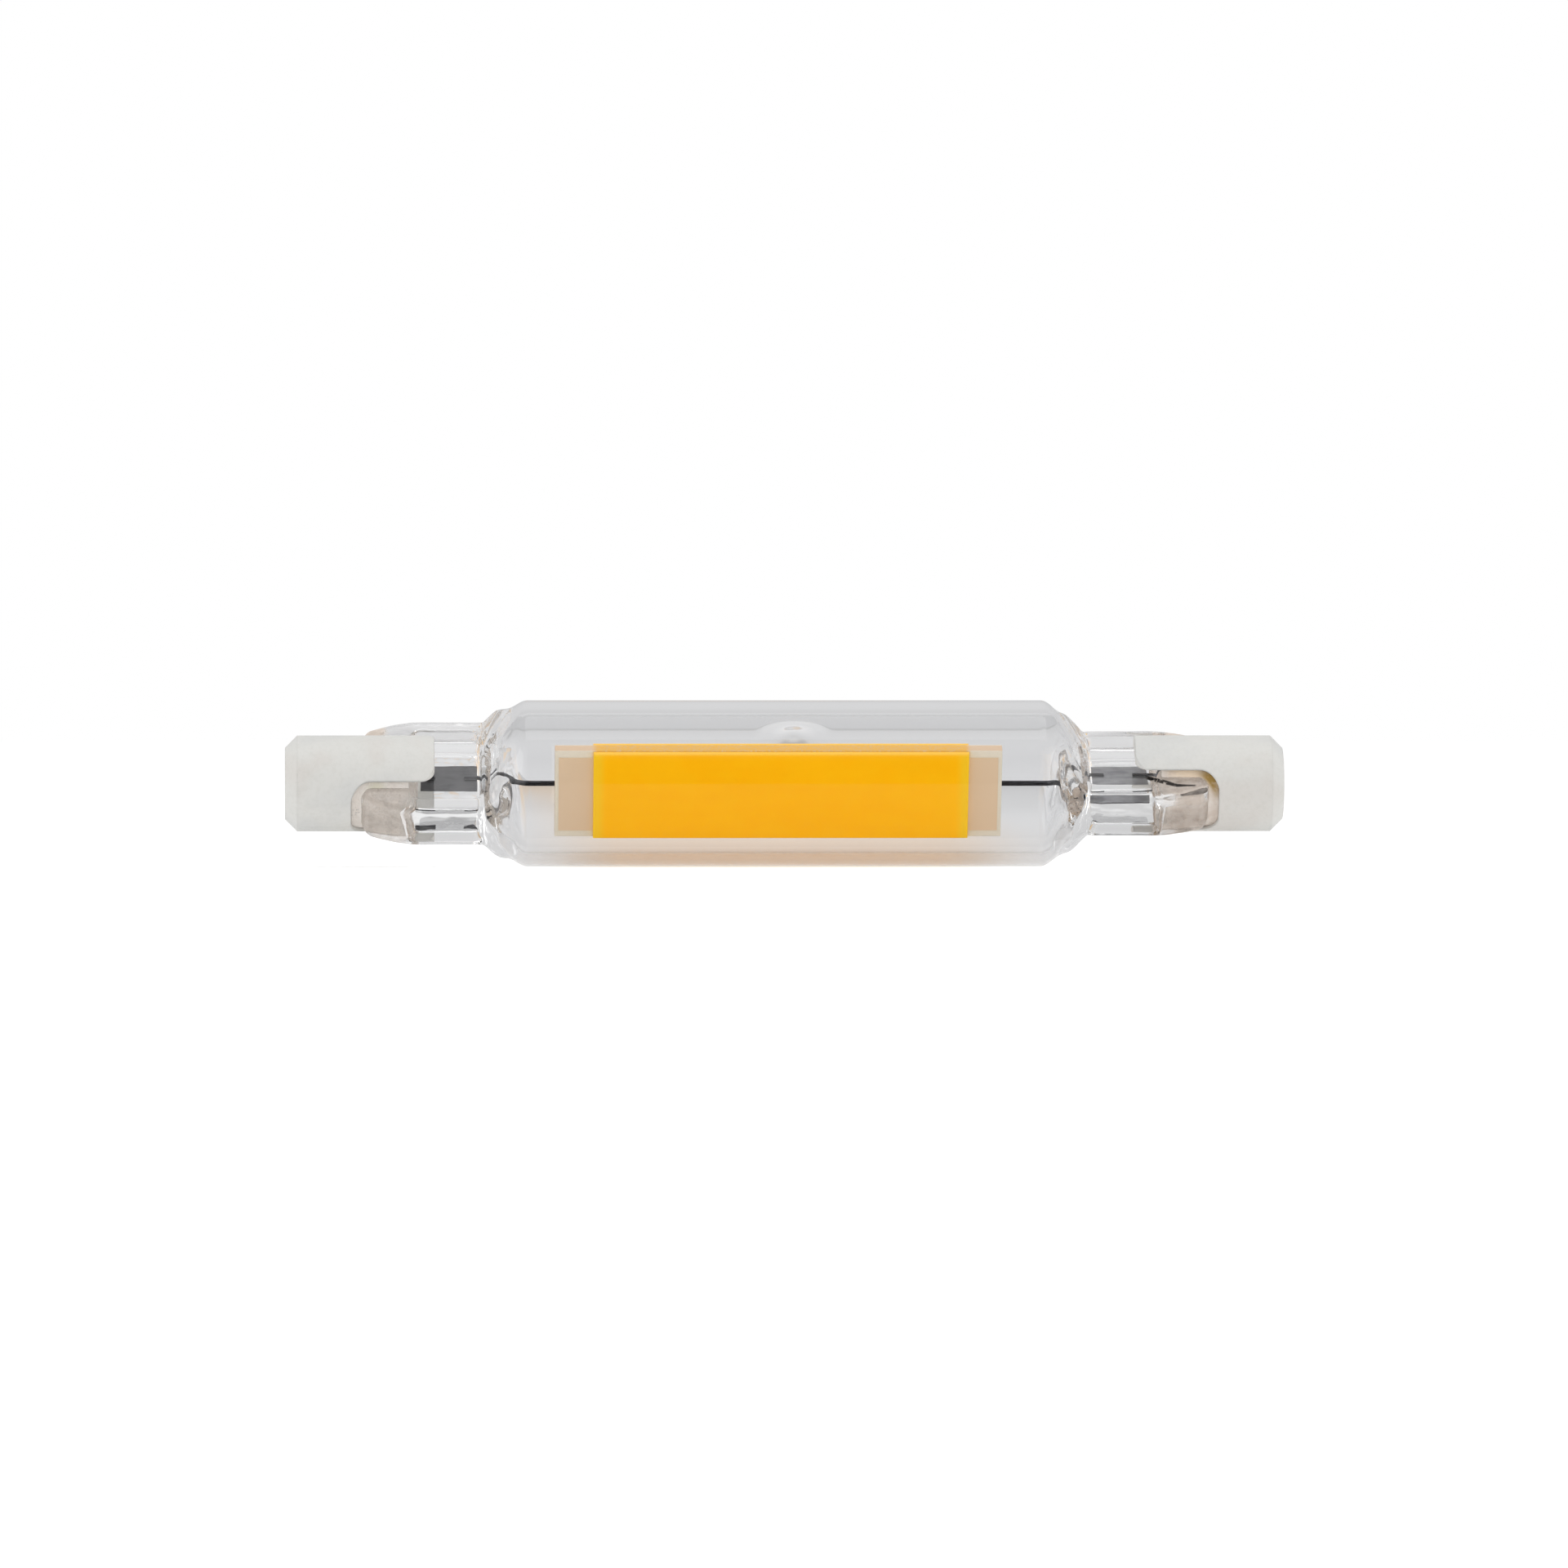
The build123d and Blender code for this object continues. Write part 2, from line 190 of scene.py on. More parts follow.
material, tree, shader = startMaterial("capCeramic", {
    "Specular IOR Level": 0.35, "Coat Weight": 0.06, "Coat Roughness": 0.4,
})
where = place(tree)
cloud = grain(tree, where, capLook["patch"], 2.0)
fine = grain(tree, where, capLook["speck"], 4.0, 0.65)
colour = ramp(tree, cloud, [
    (0.32, capLook["cool"]), (0.5, capLook["pale"]), (0.68, capLook["warm"]),
], smooth=True)
dust = ramp(tree, fine, [(0.3, capLook["dust"]), (0.55, grey(1))])
colour = blendColours(tree, capLook["dustShare"], colour, dust, "MULTIPLY")
smooth, rough = capLook["rough"]
connect(tree, shader.inputs["Base Color"], colour)
connect(tree, shader.inputs["Roughness"],
        ramp(tree, fine, [(0.3, grey(smooth)), (0.7, grey(rough))]))
height = calc(tree, "ADD", fine, times(tree, cloud, 0.6))
roughen(tree, shader, height, *capLook["bump"], capLook["edge"])
dress(material, *[f"ceramic_cap_{end}" for end in bothEnds])
print("caps done")

# cement in the slots: lumpy beige, scorched in places
cementLook = {
    "base": (0.60, 0.515, 0.45),
    "chalk": (0.70, 0.64, 0.585),
    "lump": 0.9,
    "grit": 0.16,
    "ochre": (0.33, 0.21, 0.06),  # an arc round the corner of the right seal
    "ochreAt": (33.3, -3.2, 0.3),
    "ochreRadius": 2.0,
    "arcAt": (31.4, -3.2, -1.3),
    "arcRadii": (1.75, 2.3),
    "cream": (0.80, 0.62, 0.42),  # heated, above the right seal
    "creamAt": (31.6, -3.0, 0.9),
    "creamRadius": 2.6,
    "creamShare": 0.6,
    "olive": (0.42, 0.40, 0.17),  # a stain on the left
    "oliveAt": (-31.9, -3.3, -0.5),
    "oliveRadius": 1.1,
    "oliveShare": 0.75,
    "speck": (0.06, 0.055, 0.05),  # dark specks low on the left
    "speckAt": (-33.2, -2.6, -2.2),
    "speckRadius": 1.3,
    "start": (0.72, 0.69, 0.65),  # paler where it begins, and all over on the left
    "startsFrom": (30.6, 29.0),
    "leftShare": 0.55,
    "bump": (0.6, 0.12),
    "edge": 0.15,
}

material, tree, shader = startMaterial("beigeCement", {
    "Roughness": 0.8, "Specular IOR Level": 0.25,
})
where = place(tree)
lumps = grain(tree, where, cementLook["lump"], 4.0, 0.6)
grit = grain(tree, where, cementLook["grit"], 4.0, 0.7)
colour = ramp(tree, lumps, [(0.35, cementLook["base"]), (0.65, cementLook["chalk"])])
burnt = times(
    tree,
    span(tree, gapTo(tree, where, cementLook["arcAt"]), *cementLook["arcRadii"]),
    nearSpot(tree, where, cementLook["ochreAt"], cementLook["ochreRadius"]),
    span(tree, lumps, 0.2, 0.5),
)
colour = blendColours(tree, burnt, colour, cementLook["ochre"])
heated = times(
    tree,
    nearSpot(tree, where, cementLook["creamAt"], cementLook["creamRadius"]),
    cementLook["creamShare"],
    calc(tree, "SUBTRACT", 1.0, burnt),
)
colour = blendColours(tree, heated, colour, cementLook["cream"])
stain = nearSpot(tree, where, cementLook["oliveAt"], cementLook["oliveRadius"])
stain = times(tree, stain, cementLook["oliveShare"])
colour = blendColours(tree, stain, colour, cementLook["olive"])
specks = nearSpot(tree, where, cementLook["speckAt"], cementLook["speckRadius"])
specks = times(tree, specks, span(tree, grit, 0.56, 0.62))
colour = blendColours(tree, specks, colour, cementLook["speck"])
fromMiddle = calc(tree, "ADD", calc(tree, "ABSOLUTE", axisOf(tree, where, "X")), lumps)
atStart = span(tree, fromMiddle, *cementLook["startsFrom"])
colour = blendColours(tree, atStart, colour, cementLook["start"])
onLeft = times(tree, onLeftHalf(tree, where), cementLook["leftShare"])
colour = blendColours(tree, onLeft, colour, cementLook["start"])
connect(tree, shader.inputs["Base Color"], colour)
height = calc(tree, "ADD", grit, times(tree, lumps, 2.0))
roughen(tree, shader, height, *cementLook["bump"], cementLook["edge"])
dress(material, *[f"cement_{end}" for end in bothEnds])
print("cement done")

# grey foils sealed in the glass, the left one painted darker than the right one as painted shade
foilLook = {
    "light": (0.40, 0.40, 0.415),
    "dark": (0.24, 0.24, 0.255),
    # near-black that the left foil is darkened towards, painted shade
    "heated": (0.02, 0.02, 0.022),
    "leftShadeShare": 0.66,
    "streak": 0.35,
    "mottle": 1.2,
    "bump": (0.3, 0.03),
    "mirrorFaded": 0.8,  # how much of its mirror image in the glass is lost
}

material, tree, shader = startMaterial("foilGrey", {"Metallic": 1.0, "Roughness": 0.45})
where = place(tree)
streak = grain(tree, place(tree, (0.25, 1, 1)), foilLook["streak"], 3.0)
mottle = grain(tree, where, foilLook["mottle"], 2.0)
mixed = calc(tree, "ADD", times(tree, streak, 0.55), times(tree, mottle, 0.45))
colour = ramp(tree, mixed, [(0.36, foilLook["dark"]), (0.62, foilLook["light"])])
# painted shade: the left foil darkened
darker = blendColours(tree, foilLook["leftShadeShare"], colour, foilLook["heated"])
colour = blendColours(tree, onLeftHalf(tree, where), colour, darker)
connect(tree, shader.inputs["Base Color"], colour)
roughen(tree, shader, streak, *foilLook["bump"])
path = put(tree, "LightPath").outputs
mirrored = times(
    tree,
    calc(tree, "GREATER_THAN", path["Glossy Depth"], 0.5),
    calc(tree, "COMPARE", path["Transmission Depth"], 1.0),
    foilLook["mirrorFaded"],
)
surface = blendShaders(tree, mirrored, shader, put(tree, "BsdfTransparent"))
connect(tree, tree.nodes["Material Output"].inputs["Surface"], surface.outputs[0])
dress(material, *[f"foil_{end}" for end in bothEnds])

# dark drawn wire of the leads
leadLook = {
    "dark": (0.025, 0.025, 0.03),
    "worn": (0.10, 0.10, 0.11),
    "drawn": 0.12,
    "bump": (0.3, 0.02),
}

material, tree, shader = startMaterial("oxidisedLead", {"Metallic": 0.7, "Roughness": 0.4})
drawn = grain(tree, place(tree, (0.08, 1, 1)), leadLook["drawn"], 3.0)
connect(tree, shader.inputs["Base Color"],
        ramp(tree, drawn, [(0.4, leadLook["dark"]), (0.75, leadLook["worn"])]))
roughen(tree, shader, drawn, *leadLook["bump"])
dress(material, *[f"{kind}_lead_{end}" for kind in ("inner", "outer") for end in bothEnds])

# nickel-plated rivets in the caps' ends
rivetLook = {
    "bright": (0.66, 0.63, 0.57),
    "dull": (0.42, 0.40, 0.36),
    "rough": (0.24, 0.46),
    "tarnish": 0.8,
    "scratch": 0.15,
    "bump": (0.25, 0.02),
    "edge": 0.08,
}

material, tree, shader = startMaterial("nickelRivet", {"Metallic": 1.0})
tarnish = grain(tree, place(tree), rivetLook["tarnish"], 4.0, 0.6)
scratch = grain(tree, place(tree, (1, 0.2, 1)), rivetLook["scratch"], 3.0)
smooth, rough = rivetLook["rough"]
connect(tree, shader.inputs["Base Color"],
        ramp(tree, tarnish, [(0.35, rivetLook["dull"]), (0.62, rivetLook["bright"])]))
connect(tree, shader.inputs["Roughness"],
        ramp(tree, scratch, [(0.3, grey(smooth)), (0.7, grey(rough))]))
roughen(tree, shader, scratch, *rivetLook["bump"], rivetLook["edge"])
dress(material, *[f"contact_{end}" for end in bothEnds])

# solder on the back of the board
solderLook = {
    "dull": (0.42, 0.42, 0.42),
    "bright": (0.72, 0.72, 0.71),
    "flow": 0.5,
    "bump": (0.5, 0.15),
    "edge": 0.25,
}

material, tree, shader = startMaterial("brightSolder", {"Metallic": 1.0, "Roughness": 0.25})
flow = grain(tree, place(tree), solderLook["flow"], 3.0)
connect(tree, shader.inputs["Base Color"],
        ramp(tree, flow, [(0.3, solderLook["dull"]), (0.7, solderLook["bright"])]))
roughen(tree, shader, flow, *solderLook["bump"], solderLook["edge"])
dress(material, *[f"solder_{end}" for end in bothEnds])
print("metal done")

# pale board, its printed faces paler than the sides between them, which are painted salmon as
# painted light of the coats' yellow
boardLook = {
    "turn": 26.0,
    "face": (0.82, 0.77, 0.65),
    # painted light: salmon of the sides, the coats' yellow light falling on them
    "side": (0.68, 0.49, 0.33),
    "front": 1.35,  # heights of the two faces, measured outwards from the lamp's axis
    "back": 0.25,
    "faceEdge": (0.01, 0.12),
    "sideYellow": (0.80, 0.42, 0.03),  # patchy yellow on the sides between them, along the coats
    "sideYellowEnds": (14.9, 14.3),
    "pore": 0.22,
    "poreTone": (0.9, 0.89, 0.87),
    "poreShare": 0.5,
    "bump": (0.3, 0.03),
    "edge": 0.08,
}
boardTurn = math.radians(boardLook["turn"])
boardOut = (0, -math.cos(boardTurn), -math.sin(boardTurn))
boardUp = (0, -math.sin(boardTurn), math.cos(boardTurn))

material, tree, shader = startMaterial("boardCeramic", {
    "Roughness": 0.6, "Specular IOR Level": 0.35,
})
where = place(tree)
outwards = distanceAlong(tree, where, boardOut)
pores = grain(tree, where, boardLook["pore"], 4.0, 0.65)
near, deep = boardLook["faceEdge"]
front, back = boardLook["front"], boardLook["back"]
coatLitSides = times(tree, span(tree, outwards, front - near, front - deep),
                 span(tree, outwards, back + near, back + deep))
colour = blendColours(tree, coatLitSides, boardLook["face"], boardLook["side"])
fromMiddle = calc(tree, "SUBTRACT", axisOf(tree, where, "X"), stripMiddle)
yellowOnSides = times(tree, span(tree, calc(tree, "ABSOLUTE", fromMiddle), *boardLook["sideYellowEnds"]),
              span(tree, pores, 0.1, 0.6))
colour = blendColours(tree, yellowOnSides, colour, boardLook["sideYellow"])
pitted = ramp(tree, pores, [(0.3, boardLook["poreTone"]), (0.6, grey(1))])
colour = blendColours(tree, boardLook["poreShare"], colour, pitted, "MULTIPLY")
connect(tree, shader.inputs["Base Color"], colour)
roughen(tree, shader, pores, *boardLook["bump"], boardLook["edge"])
dress(material, "led_board")

# printed end pads
padLook = {
    "print": (0.84, 0.65, 0.45),
    "rough": (0.42, 0.6),
    "screen": 0.3,
    "worn": 1.5,
    "bump": (0.2, 0.02),
}

material, tree, shader = startMaterial("padPrint", {
    "Base Color": padLook["print"], "Metallic": 0.1,
})
screen = grain(tree, place(tree, (1, 1, 0.15)), padLook["screen"], 3.0)
worn = grain(tree, place(tree), padLook["worn"], 3.0)
smooth, rough = padLook["rough"]
connect(tree, shader.inputs["Roughness"],
        ramp(tree, worn, [(0.3, grey(smooth)), (0.7, grey(rough))]))
roughen(tree, shader, screen, *padLook["bump"])
dress(material, *[f"{face}_pad_{end}" for face in ("front", "back") for end in bothEnds])

# chips under both coats, and the two dice that feed them
chipLook = {
    "size": 0.2,
    "sapphire": ((0.26, 0.31, 0.42), (0.42, 0.47, 0.56)),
    "silicon": ((0.05, 0.05, 0.06), (0.12, 0.12, 0.14)),
}

for name, tones, parts in (
    ("chipSapphire", chipLook["sapphire"], ("front_chips", "back_chips")),
    ("driverSilicon", chipLook["silicon"], ("driver_dice",)),
):
    material, tree, shader = startMaterial(name, {"Roughness": 0.25})
    mottle = grain(tree, place(tree), chipLook["size"])
    connect(tree, shader.inputs["Base Color"],
            ramp(tree, mottle, [(0.35, tones[0]), (0.65, tones[1])]))
    dress(material, *parts)
print("board done")

# yellow coat over the chips, with a faint painted glow
coatLook = {
    "upper": (0.98, 0.49, 0.001),
    "lower": (0.98, 0.505, 0.002),
    "cast": 2.2,
    "ends": (0.90, 0.56, 0.018),  # thinner and paler at both ends
    "endsWide": (1.1, 0.3),
    "halfLength": 14.65,
    "rim": (0.86, 0.50, 0.055),  # along its upper edge
    "rimFrom": (3.2, 3.36),
    "wave": 0.9,
    "waveTone": (0.96, 0.93, 0.9),
    "waveShare": 0.5,
    # painted glow: the coat gives off light of its own colour, brighter than the lamps make it
    "glow": 0.13,
    "bump": (0.25, 0.08),
    "edge": 0.1,
}

material, tree, shader = startMaterial("yellowCoat", {
    "Roughness": 0.5, "Specular IOR Level": 0.05, "Subsurface Weight": 0.1,
    "Subsurface Radius": (1.0, 0.5, 0.1), "Subsurface Scale": 0.4 * mm,
    "Emission Strength": coatLook["glow"],
})
where = place(tree)
cast = grain(tree, where, coatLook["cast"], 3.0)
wave = grain(tree, place(tree, (0.12, 1, 1)), coatLook["wave"], 3.0)
colour = blendColours(tree, span(tree, cast, 0.35, 0.65), coatLook["upper"], coatLook["lower"])
fromMiddle = calc(tree, "SUBTRACT", axisOf(tree, where, "X"), stripMiddle)
fromEnd = calc(tree, "SUBTRACT", coatLook["halfLength"], calc(tree, "ABSOLUTE", fromMiddle))
colour = blendColours(tree, span(tree, fromEnd, *coatLook["endsWide"]), colour, coatLook["ends"])
upwards = distanceAlong(tree, where, boardUp)
colour = blendColours(tree, span(tree, upwards, *coatLook["rimFrom"]), colour, coatLook["rim"])
waves = ramp(tree, wave, [(0.3, coatLook["waveTone"]), (0.65, grey(1))])
colour = blendColours(tree, coatLook["waveShare"], colour, waves, "MULTIPLY")
connect(tree, shader.inputs["Base Color"], colour)
connect(tree, shader.inputs["Emission Color"], colour)
roughen(tree, shader, calc(tree, "ADD", wave, cast), *coatLook["bump"], coatLook["edge"])
dress(material, "front_coat", "back_coat")
print("coat done")

# glass envelope, blown as a tube and pressed flat at both ends
glassLook = {
    "tube": 6.5,
    "tubeHalf": 20.05,
    "root": 23.55,  # where the shoulder has become the flat seal
    "tip": 33.05,
    "halfWidth": 5.1,
    "halfThick": 2.05,
    "square": 14.0,
    "endWidth": 3.62,
    "taper": 5.6,
    "endRound": 0.8,
    "turns": {-1: 47.0, 1: 61.0},  # degrees of the left and right seal about the axis
    # thinner web between the rims of a seal
    "webHalf": 1.3,
    "webWide": 3.5,
    "webStart": 0.35,
    "webEnd": 4.2,
    "webCorner": 0.5,
    "webEdge": (-0.05, 0.34),
    "webBefore": 0.2,
    # bore, with thicker sides and a blunt end in the shoulders
    "wall": 1.0,
    "sideWall": 1.6,
    "closeFrom": 21.7,
    "boreEnd": 22.95,
    "narrowed": 0.45,
    "boreSquare": 0.15,
    "thinnest": 0.02,
    # nub at mid-length, and the pit inside it
    "nubAlong": 0.9,
    "nubTurn": 38.0,
    "nubHeight": 0.45,
    "nubRadius": 1.6,
    "nubFades": (2.2, 3.2),
    "pitDepth": 0.04,
    "pitRadius": 0.8,
    # folds at the roots and a faint waviness of the flat ends
    "crumple": 0.13,
    "crumpleFrom": (0.6, -1.2),  # past the end of the tube, and before the root
    "crumpleFades": 1.6,
    "crumpleOnFlat": 0.25,
    "coarseFolds": (0.9, 0.8),  # how close together, along and across the lamp
    "fineFolds": (2.2, 1.7),
    "fineShare": 0.5,
    "outerShare": 0.45,
    "innerShare": 1.6,
    "drawnIn": 0.1,
    "ripple": 0.03,
    "ripples": (0.35, 1.3),
    # how far the bedded ends reach into their cement, so that no air is left between
    "bedding": 0.08,
    "beddedFrom": (27.4, 29.5),
    # points round a section, and steps between the sections
    "points": 176,
    "outlinePoints": 480,
    "stepAtNub": 0.17,
    "stepOnTube": 1.1,
    "stepOnSeal": 0.13,
    "nubStepsTo": 4.2,
    "tipSteps": (0.12, 0.05, 0.012),
}


def bend(u):
    # course of the shoulder from 0 to 1, eased at its start, steepest past its middle
    return u * u * (2.2 - 1.2 * u)


def softStep(value, low, high):
    u = min(1.0, max(0.0, (value - low) / (high - low)))
    return u * u * (3 - 2 * u)


def sealShape(s):
    # half width, half thickness and squareness of the pressed end, s along the lamp
    g = glassLook
    intoTaper = max(0.0, s - (g["tip"] - g["taper"]))
    wide = g["halfWidth"] - (g["halfWidth"] - g["endWidth"]) * (intoTaper / g["taper"]) ** 2
    thick = g["halfThick"]
    past = s - (g["tip"] - g["endRound"])
    if past > 0:
        cut = g["endRound"] - math.sqrt(max(0.0, g["endRound"] ** 2 - past**2))
        wide -= cut
        thick -= cut
    return wide, thick, g["square"]


def outerShape(s):
    g = glassLook
    tube = g["tube"]
    if s <= g["tubeHalf"]:
        return tube, tube, 2.0
    if s >= g["root"]:
        return sealShape(s)
    k = bend((s - g["tubeHalf"]) / (g["root"] - g["tubeHalf"]))
    wide, thick, square = sealShape(g["root"])
    return tube + (wide - tube) * k, tube + (thick - tube) * k, 2 + (square - 2) * k**3


def innerShape(s):
    # an even wall until the blunt end, where the press closed the bore
    g = glassLook
    wide, thick, square = outerShape(min(s, g["root"] - 0.01))
    past = softStep(s, g["tubeHalf"], g["boreEnd"])
    wide -= g["wall"] + (g["sideWall"] - g["wall"]) * past
    thick -= g["wall"]
    if s > g["closeFrom"]:
        closing = (s - g["closeFrom"]) / (g["boreEnd"] - g["closeFrom"])
        left = math.sqrt(max(0.0, 1 - closing**2))
        wide *= 1 - g["narrowed"] * (1 - left)
        thick = thick * left + g["thinnest"]
    return wide, thick, 2 + g["boreSquare"] * (square - 2)


def webLimit(s, w, thick):
    # half thickness of a seal at w across it, less within the rounded panel of its web
    g = glassLook
    corner = g["webCorner"]
    middle = g["root"] + (g["webStart"] + g["tip"] - g["root"] - g["webEnd"]) / 2
    halfLength = (g["tip"] - g["webEnd"] - g["root"] - g["webStart"]) / 2 - corner
    along, across = abs(s - middle) - halfLength, abs(w) - (g["webWide"] - corner)
    outside = math.hypot(max(along, 0), max(across, 0)) + min(0, max(along, across)) - corner
    limit = g["webHalf"] + (thick - g["webHalf"]) * softStep(outside, *g["webEdge"])
    return max(limit, g["thinnest"])


def sectionOutline(s, shape, outer):
    # rounded section as places across the seal (w) and through it (t)
    g = glassLook
    wide, thick, square = shape(s)
    outline = []
    for i in range(g["outlinePoints"]):
        a = 2 * math.pi * i / g["outlinePoints"]
        c, v = math.cos(a), math.sin(a)
        reach = (abs(c / wide) ** square + abs(v / thick) ** square) ** (-1 / square)
        w, t = c * reach, v * reach
        if outer and s > g["root"] - g["webBefore"]:
            t = math.copysign(min(abs(t), webLimit(s, w, thick)), t)
        outline.append((w, t))
    return outline


def spacedEvenly(outline, count):
    lengths = [0.0]
    for i, (w0, t0) in enumerate(outline):
        w1, t1 = outline[(i + 1) % len(outline)]
        lengths.append(lengths[-1] + math.hypot(w1 - w0, t1 - t0))
    spaced = []
    j = 0
    for i in range(count):
        goal = lengths[-1] * i / count
        while lengths[j + 1] < goal:
            j += 1
        f = (goal - lengths[j]) / max(1e-9, lengths[j + 1] - lengths[j])
        (w0, t0), (w1, t1) = outline[j], outline[(j + 1) % len(outline)]
        spaced.append((w0 + (w1 - w0) * f, t0 + (t1 - t0) * f))
    return spaced


def waver(x, spot, fineness, shift=(0, 0, 0)):
    along, across = fineness
    return noise.noise(Vector((x * along, spot.y * across, spot.z * across)) + Vector(shift))


def foldDepth(x, spot, outer):
    # crumpled where the press pulled the hot glass in, faintly wavy on the flat ends
    g = glassLook
    s = abs(x)
    start, end = g["crumpleFrom"]
    close = softStep(s, g["tubeHalf"] + start, g["root"] + end)
    close *= 1 - (1 - g["crumpleOnFlat"]) * softStep(s, g["root"], g["root"] + g["crumpleFades"])
    amount = g["crumple"] * close * waver(x, spot, g["coarseFolds"], (7, 3, 1))
    amount += g["fineShare"] * g["crumple"] * close * waver(x, spot, g["fineFolds"])
    flat = softStep(s, g["root"] - 0.5, g["root"] + 0.5)
    amount += g["ripple"] * flat * waver(x, spot, g["ripples"], (0, 5, 9))
    if not outer:
        return g["innerShare"] * amount
    bedding = g["bedding"] * softStep(s, *g["beddedFrom"])
    return g["outerShare"] * amount - g["drawnIn"] * g["crumple"] * close + bedding


def nubDepth(x, spot, outer):
    g = glassLook
    turn = math.radians(g["nubTurn"])
    way = Vector((0, math.cos(turn), math.sin(turn)))
    towards = spot.dot(way)
    beside = (Vector((x - g["nubAlong"], spot.y, spot.z)) - way * towards).length
    if towards <= 0 or beside >= g["nubFades"][1]:
        return 0.0
    fade = 1 - softStep(beside, *g["nubFades"])
    if outer:
        return g["nubHeight"] * fade / (1 + (beside / g["nubRadius"]) ** 3)
    return g["pitDepth"] * fade / (1 + (beside / g["pitRadius"]) ** 4)


def sectionRing(x, shape, outer):
    # evenly spaced points round one section, turned as the seals are
    g = glassLook
    count = g["points"] if outer else g["points"] * 3 // 4
    spread = min(1.0, max(0.0, (x + g["tubeHalf"]) / (2 * g["tubeHalf"])))
    turn = math.radians(g["turns"][-1] + (g["turns"][1] - g["turns"][-1]) * spread)
    acrossWay = Vector((0, math.sin(turn), math.cos(turn)))
    throughWay = Vector((0, -math.cos(turn), math.sin(turn)))
    ring = []
    for w, t in spacedEvenly(sectionOutline(abs(x), shape, outer), count):
        spot = acrossWay * w + throughWay * t
        spot.x = x
        out = Vector((0, spot.y, spot.z)).normalized()
        spot += out * foldDepth(x, spot, outer)
        spot += out * nubDepth(x, spot, outer)
        ring.append(spot * mm)
    return ring


def stationsAlong(end):
    # places of the sections, closest at the nub, on the seals and at the very tip
    g = glassLook
    places = []
    x = 0.0
    while x < g["tubeHalf"] - 0.3:
        places.append(x)
        x += g["stepAtNub"] if x < g["nubStepsTo"] else g["stepOnTube"]
    steps = int((end - g["tubeHalf"]) / g["stepOnSeal"])
    places += [g["tubeHalf"] + (end - g["tubeHalf"]) * i / steps for i in range(steps)]
    places += [end - step for step in g["tipSteps"]]
    places = sorted(set(round(p, 4) for p in places if p < end))
    return [-p for p in reversed(places) if p > 0] + places


def glassMesh():
    # outer and inner skin, each closed at both ends, the inner one turned inside out
    points, faces = [], []
    for outer, shape, end in (
        (True, outerShape, glassLook["tip"]),
        (False, innerShape, glassLook["boreEnd"]),
    ):
        rings = [sectionRing(x, shape, outer) for x in stationsAlong(end)]
        count = len(rings[0])
        base = len(points)
        for ring in rings:
            points.extend(ring)
        for r in range(len(rings) - 1):
            for i in range(count):
                a, b = base + r * count + i, base + r * count + (i + 1) % count
                quad = (a, b, b + count, a + count)
                faces.append(quad if outer else quad[::-1])
        for r, flip in ((0, outer), (len(rings) - 1, not outer)):
            hub = len(points)
            points.append(sum(rings[r], Vector()) / count)
            for i in range(count):
                a, b = base + r * count + i, base + r * count + (i + 1) % count
                faces.append((hub, b, a) if flip else (hub, a, b))
    mesh = bpy.data.meshes.new("glassEnvelope")
    mesh.from_pydata(points, [], faces)
    mesh.shade_smooth()
    mesh.update()
    return mesh


glass = bpy.data.objects.new("glassEnvelope", glassMesh())
bpy.context.scene.collection.objects.link(glass)
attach(glass, "root")
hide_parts("glass_envelope")
print("glass mesh:", len(glass.data.polygons), "faces")

# clear glass, with cement smeared on the narrow sides of its bedded ends
clearLook = {
    "tint": (0.99, 0.992, 0.995),
    "ior": 1.47,
    "ripple": 3.0,
    "bump": (0.015, 0.03),
    "smear": (0.66, 0.59, 0.53),
    "smearDark": (0.56, 0.49, 0.43),
    "blot": 0.8,
    "blotReach": 1.4,
    "smearSide": (2.3, 2.8),  # distances from the middle of the seal's width
    "farShare": 1.0,  # upper narrow side, at the back
    "farFrom": (30.4, 31.0),
    "farLaterOnLeft": 1.3,
    "nearShare": 0.35,  # lower narrow side, in front
    "nearFrom": (29.2, 30.6),
    # scorched trail of the right outer lead, close under the skin of the glass
    "trail": (0.035, 0.032, 0.03),
    "trailSlope": -0.264,
    "trailHeight": 7.92,
    "trailLowest": -0.14,
    "trailThins": (31.6, 29.6),
    "trailWide": 0.1,
    "trailEdge": (0.1, 0.02),
    "trailAlong": 30.1,
    "trailReach": (2.0, 1.7),
    "trailFront": -1.0,
    "trailGaps": 0.35,
    # turns in the walls after which light goes straight on
    "mostGlossy": 2.5,
    "mostTurns": 8.5,
}

material, tree, shader = startMaterial("clearGlass", {
    "Base Color": clearLook["tint"], "Roughness": 0.0, "IOR": clearLook["ior"],
    "Transmission Weight": 1.0,
})
drift = grain(tree, place(tree, (0.3, 1, 1)), clearLook["ripple"], 1.0)
roughen(tree, shader, drift, *clearLook["bump"])

where = place(tree)
blot = grain(tree, where, clearLook["blot"], 3.0)
spot = put(tree, "SeparateXYZ", {"Vector": where}).outputs
onRight = calc(tree, "GREATER_THAN", spot["X"], 0.0)
onLeft = calc(tree, "SUBTRACT", 1.0, onRight)
acrossEnds = []
for side, there in ((1, onRight), (-1, onLeft)):
    turn = math.radians(glassLook["turns"][side])
    across = distanceAlong(tree, where, (0, math.sin(turn), math.cos(turn)))
    acrossEnds.append(times(tree, across, there))
across = calc(tree, "ADD", *acrossEnds)
bedded = calc(tree, "ADD", calc(tree, "ABSOLUTE", spot["X"]),
              times(tree, blot, clearLook["blotReach"]))
beddedLater = calc(tree, "ADD", bedded, times(tree, onLeft, -clearLook["farLaterOnLeft"]))
inner, outer = clearLook["smearSide"]
